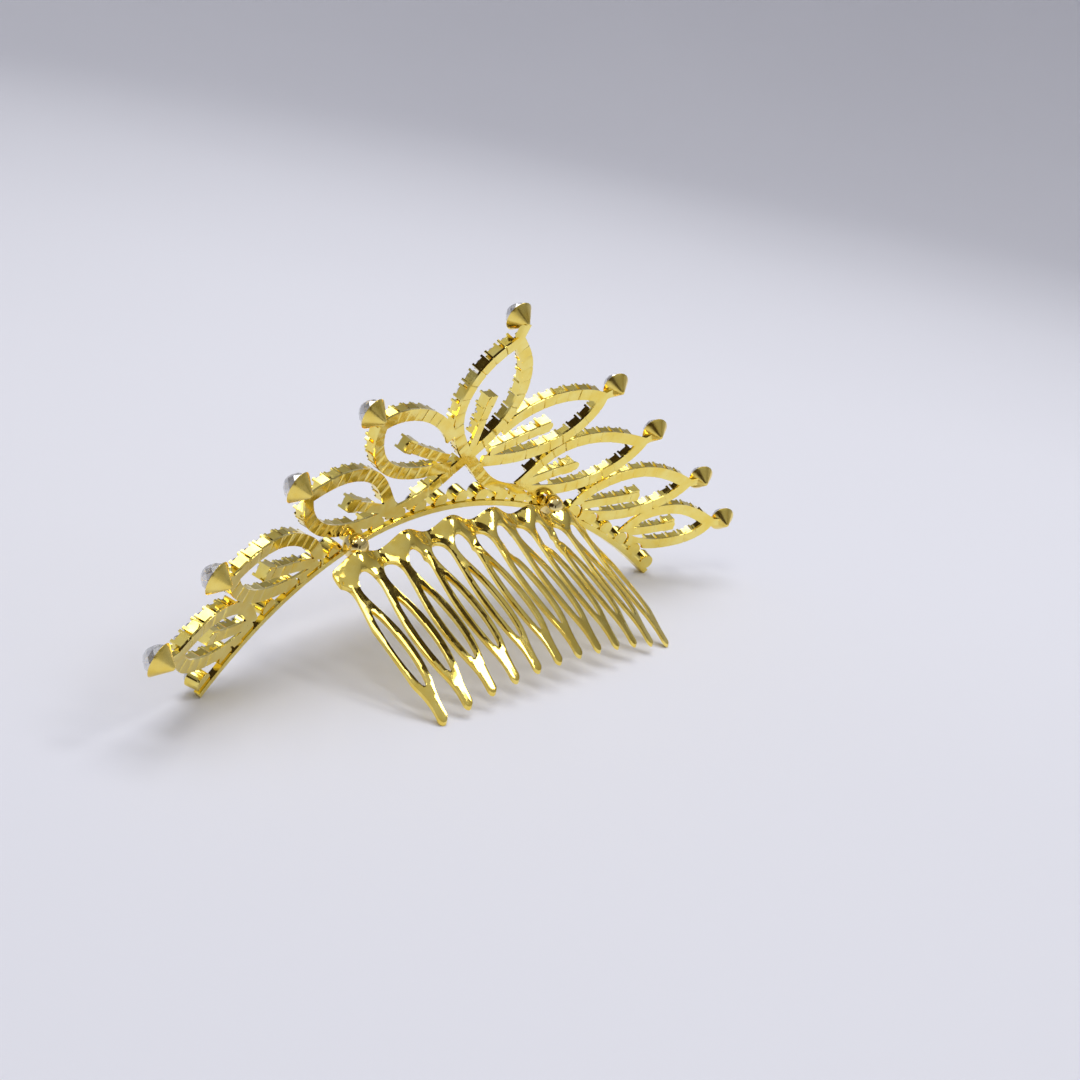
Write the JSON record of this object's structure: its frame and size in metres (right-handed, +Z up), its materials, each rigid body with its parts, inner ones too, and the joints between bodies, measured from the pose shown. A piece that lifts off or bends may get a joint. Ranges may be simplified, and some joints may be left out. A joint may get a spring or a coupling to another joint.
{
  "type": "decorative hair comb",
  "caption": "Tiara-style hair comb: leaf-shaped openwork petals of stone-set gold metal strips on an arched band, soldered to a stamped comb with slit teeth.",
  "frame": {"origin": "middle of the bounding box at its base, on the table plane that the comb stands on", "axes": "+Z up, front of the crown towards -Y, comb teeth towards +Y, mirror plane X = 0"},
  "size_m": [0.1324, 0.0314, 0.0532],
  "materials": {
    "gold": "mirror-polished gold plating",
    "comb_gold": "mirror-polished gold plating on stamped sheet",
    "solder": "bright gold-plated solder bead",
    "rhinestone": "clear faceted glass",
    "crystal": "clear faceted glass"
  },
  "bodies": {
    "root": {"band_cups": "gold", "band_rail": "gold", "band_stones": "rhinestone", "comb": "comb_gold", "petal_1_left": "gold", "petal_1_right": "gold", "petal_2_left": "gold", "petal_2_right": "gold", "petal_3_left": "gold", "petal_3_right": "gold", "petal_4_left": "gold", "petal_4_right": "gold", "petal_centre": "gold", "ribbon_left": "gold", "ribbon_right": "gold", "ribbon_stones_left": "rhinestone", "ribbon_stones_right": "rhinestone", "solder_left": "solder", "solder_right": "solder", "stamen_1_left": "gold", "stamen_1_right": "gold", "stamen_2_left": "gold", "stamen_2_right": "gold", "stamen_3_left": "gold", "stamen_3_right": "gold", "stamen_4_left": "gold", "stamen_4_right": "gold", "stamen_centre": "gold", "stones_1_left": "rhinestone", "stones_1_right": "rhinestone", "stones_2_left": "rhinestone", "stones_2_right": "rhinestone", "stones_3_left": "rhinestone", "stones_3_right": "rhinestone", "stones_4_left": "rhinestone", "stones_4_right": "rhinestone", "stones_centre": "rhinestone", "tip_crystal_1_left": "crystal", "tip_crystal_1_right": "crystal", "tip_crystal_2_left": "crystal", "tip_crystal_2_right": "crystal", "tip_crystal_3_left": "crystal", "tip_crystal_3_right": "crystal", "tip_crystal_4_left": "crystal", "tip_crystal_4_right": "crystal", "tip_crystal_centre": "crystal", "tip_cup_1_left": "gold", "tip_cup_1_right": "gold", "tip_cup_2_left": "gold", "tip_cup_2_right": "gold", "tip_cup_3_left": "gold", "tip_cup_3_right": "gold", "tip_cup_4_left": "gold", "tip_cup_4_right": "gold", "tip_cup_centre": "gold"}
  },
  "joints": []
}
